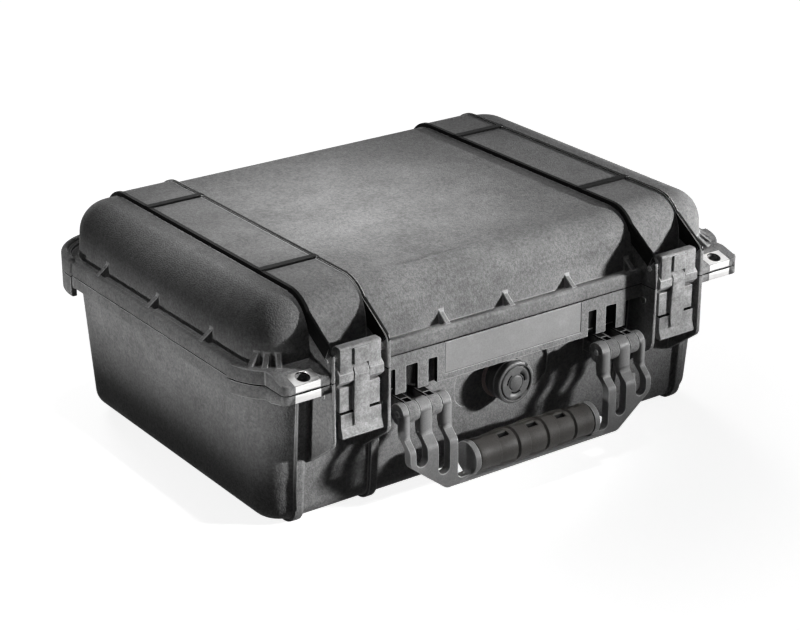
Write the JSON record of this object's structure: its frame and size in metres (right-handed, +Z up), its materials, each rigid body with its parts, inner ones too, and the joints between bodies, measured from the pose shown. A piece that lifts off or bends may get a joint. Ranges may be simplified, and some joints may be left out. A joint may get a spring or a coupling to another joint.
{
  "type": "hard case",
  "caption": "Protective hard case with a ribbed hinged lid, pivoting front latches, padlock ears, a swinging carrying handle and a pressure valve.",
  "frame": {"origin": "under the middle of the whole case, midway between its side walls and midway between the front of the grip's collars and the back of the hinges, on the plane that the foot rails stand on", "axes": "+X to the right seen from the front, +Y to the hinges, +Z up"},
  "size_m": [0.474, 0.3768, 0.187],
  "materials": {
    "case_plastic": "pebble-grained charcoal",
    "nameplate_plastic": "fine satin charcoal",
    "latch_plastic": "satin dark grey",
    "handle_plastic": "satin dark grey",
    "grip_rubber": "soft brown-black",
    "plate_steel": "brushed stainless",
    "pin_steel": "turned stainless",
    "seal_rubber": "soft black",
    "gasket_rubber": "soft pinkish grey",
    "valve_plastic": "satin near-black",
    "membrane_fabric": "fine white mesh"
  },
  "bodies": {
    "base": {"base_shell": "case_plastic", "nameplate": "nameplate_plastic", "right_base_padlock_plate": "plate_steel", "left_base_padlock_plate": "plate_steel", "right_catch_pin": "pin_steel", "left_catch_pin": "pin_steel", "right_handle_pin": "pin_steel", "left_handle_pin": "pin_steel", "right_hinge_pin": "pin_steel", "left_hinge_pin": "pin_steel", "valve_gasket": "gasket_rubber", "valve_body": "valve_plastic", "valve_membrane": "membrane_fabric", "valve_nut": "valve_plastic"},
    "lid": {"lid_shell": "case_plastic", "lid_seal": "seal_rubber", "right_lid_padlock_plate": "plate_steel", "left_lid_padlock_plate": "plate_steel", "right_latch_lid_pin": "pin_steel", "left_latch_lid_pin": "pin_steel"},
    "right_latch_link": {"right_latch_link": "latch_plastic", "right_latch_lever_pin": "pin_steel"},
    "right_latch_lever": {"right_latch_lever": "latch_plastic"},
    "left_latch_link": {"left_latch_link": "latch_plastic", "left_latch_lever_pin": "pin_steel"},
    "left_latch_lever": {"left_latch_lever": "latch_plastic"},
    "handle": {"handle_frame": "handle_plastic", "handle_grip": "grip_rubber"},
    "valve_knob": {"valve_knob": "valve_plastic"}
  },
  "joints": [
    {"name": "lid_hinge", "type": "hinge", "parent": "base", "child": "lid", "pos_m": [0, 0.18295, 0.1283], "axis": [-1, 0, 0], "range_deg": [0, 100]},
    {"name": "right_latch_swing", "type": "hinge", "parent": "lid", "child": "right_latch_link", "pos_m": [0.1556, -0.162, 0.144], "axis": [-1, 0, 0], "range_deg": [0, 100]},
    {"name": "right_lever_pull", "type": "hinge", "parent": "right_latch_link", "child": "right_latch_lever", "pos_m": [0.1556, -0.162, 0.1305], "axis": [-1, 0, 0], "range_deg": [0, 80]},
    {"name": "left_latch_swing", "type": "hinge", "parent": "lid", "child": "left_latch_link", "pos_m": [-0.1556, -0.162, 0.144], "axis": [-1, 0, 0], "range_deg": [0, 100]},
    {"name": "left_lever_pull", "type": "hinge", "parent": "left_latch_link", "child": "left_latch_lever", "pos_m": [-0.1556, -0.162, 0.1305], "axis": [-1, 0, 0], "range_deg": [0, 80]},
    {"name": "handle_swing", "type": "hinge", "parent": "base", "child": "handle", "pos_m": [0, -0.16355, 0.085], "axis": [-1, 0, 0], "range_deg": [0, 95]},
    {"name": "valve_turn", "type": "hinge", "parent": "base", "child": "valve_knob", "pos_m": [0, -0.14325, 0.076], "axis": [0, -1, 0], "range_deg": [0, 90]}
  ]
}
